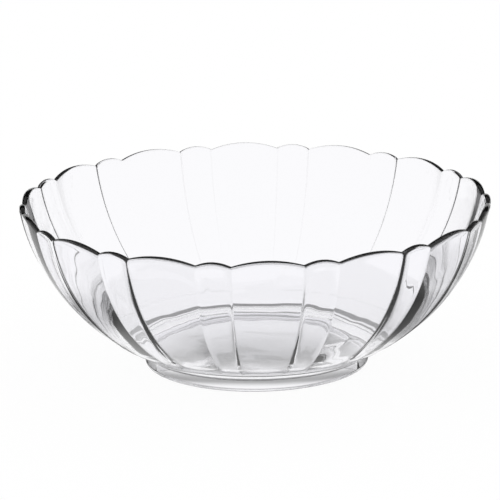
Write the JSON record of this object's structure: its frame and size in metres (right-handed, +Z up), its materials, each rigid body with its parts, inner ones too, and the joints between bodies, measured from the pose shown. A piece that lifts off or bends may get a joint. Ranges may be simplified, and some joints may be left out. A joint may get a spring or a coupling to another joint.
{
  "type": "salad bowl",
  "caption": "Round salad bowl of clear pressed glass, with a fluted wall of petals and ribs, an arched scalloped rim and a ring foot, to serve food from.",
  "frame": {"origin": "middle of the foot, on the surface that the bowl stands on", "axes": "+Z up along the bowl's axis, -Y through the middle of a petal, +X to the right seen from there"},
  "size_m": [0.27, 0.27, 0.096],
  "materials": {
    "clear_glass": "clear pressed glass, fire-polished and smooth, with the faint waviness that pressing leaves"
  },
  "bodies": {
    "root": {"bowl": "clear_glass"}
  },
  "joints": []
}
